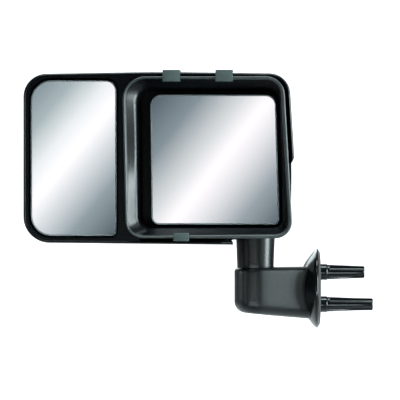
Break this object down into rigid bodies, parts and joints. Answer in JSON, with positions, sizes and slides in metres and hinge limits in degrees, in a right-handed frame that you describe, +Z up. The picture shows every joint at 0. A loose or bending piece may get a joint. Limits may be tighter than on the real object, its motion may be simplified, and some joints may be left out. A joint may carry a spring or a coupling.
{
  "type": "towing mirror",
  "caption": "Left-hand folding door mirror with a clip-on towing extension shell, a second outboard glass and rubber hook clips.",
  "frame": {"origin": "centre of the gasket's door face, between the two mounting posts", "axes": "+X into the door along the posts, +Y to the front of the vehicle, +Z up; the glasses face -Y"},
  "size_m": [0.4287, 0.1382, 0.3176],
  "materials": {
    "base_plastic": "fine grained black",
    "housing_plastic": "fine grained black",
    "shell_plastic": "fine grained charcoal",
    "panel_plastic": "satin black",
    "holder_plastic": "satin black",
    "post_plastic": "glossy black",
    "clip_rubber": "matt grey-green",
    "rubber": "matt black",
    "nylon": "natural white",
    "steel": "zinc plated",
    "screw_steel": "zinc plated",
    "spring_steel": "oiled spring steel",
    "brass": "machined",
    "mirror": "silvered glass"
  },
  "bodies": {
    "base": {"base_arm": "base_plastic", "door_gasket": "rubber", "upper_mount_post": "post_plastic", "lower_mount_post": "post_plastic", "post_inserts": "brass", "pivot_spindle": "steel", "lower_detent_ring": "steel", "fold_spring": "spring_steel", "spring_seat": "steel", "spindle_nut": "steel", "base_cap": "base_plastic"},
    "head": {"neck_cover": "base_plastic", "upper_detent_ring": "steel", "head_bracket": "steel", "bracket_screws": "screw_steel", "housing_shell": "housing_plastic", "housing_bezel": "housing_plastic", "main_ball_stud": "steel"},
    "main_pan": {"main_pivot_liner": "nylon"},
    "main_glass_unit": {"main_glass_socket": "holder_plastic", "main_socket_screws": "screw_steel", "main_glass_holder": "holder_plastic", "main_mirror_glass": "mirror"},
    "extension": {"tow_shell": "shell_plastic", "tow_front_panel": "panel_plastic", "panel_screws": "screw_steel", "tow_ball_stud": "steel", "shell_pads": "rubber"},
    "tow_pan": {"tow_pivot_liner": "nylon"},
    "tow_glass_unit": {"tow_glass_socket": "holder_plastic", "tow_socket_screws": "screw_steel", "tow_glass_holder": "holder_plastic", "tow_mirror_glass": "mirror"},
    "outboard_top_clip_body": {"outboard_top_clip": "clip_rubber"},
    "inboard_top_clip_body": {"inboard_top_clip": "clip_rubber"},
    "bottom_clip_body": {"bottom_clip": "clip_rubber"}
  },
  "joints": [
    {"name": "head_fold", "type": "hinge", "parent": "base", "child": "head", "pos_m": [-0.081, -0.034, 0.03], "axis": [0, 0, 1], "range_deg": [-60, 75]},
    {"name": "main_glass_pan", "type": "hinge", "parent": "head", "child": "main_pan", "pos_m": [-0.1305, -0.04, 0.159], "axis": [0, 0, 1], "range_deg": [-8, 8]},
    {"name": "main_glass_tilt", "type": "hinge", "parent": "main_pan", "child": "main_glass_unit", "pos_m": [-0.1305, -0.04, 0.159], "axis": [1, 0, 0], "range_deg": [-8, 8]},
    {"name": "extension_slide", "type": "slide", "parent": "head", "child": "extension", "axis": [0, 1, 0], "range_m": [0, 0.12]},
    {"name": "tow_glass_pan", "type": "hinge", "parent": "extension", "child": "tow_pan", "pos_m": [-0.303, -0.0555, 0.161], "axis": [0, 0, 1], "range_deg": [-6, 6]},
    {"name": "tow_glass_tilt", "type": "hinge", "parent": "tow_pan", "child": "tow_glass_unit", "pos_m": [-0.303, -0.0555, 0.161], "axis": [1, 0, 0], "range_deg": [-6, 6]},
    {"name": "outboard_top_clip_release", "type": "slide", "parent": "head", "child": "outboard_top_clip_body", "axis": [0, -1, 0], "range_m": [0, 0.02]},
    {"name": "inboard_top_clip_release", "type": "slide", "parent": "head", "child": "inboard_top_clip_body", "axis": [0, -1, 0], "range_m": [0, 0.02]},
    {"name": "bottom_clip_release", "type": "slide", "parent": "head", "child": "bottom_clip_body", "axis": [0, -1, 0], "range_m": [0, 0.02]}
  ]
}
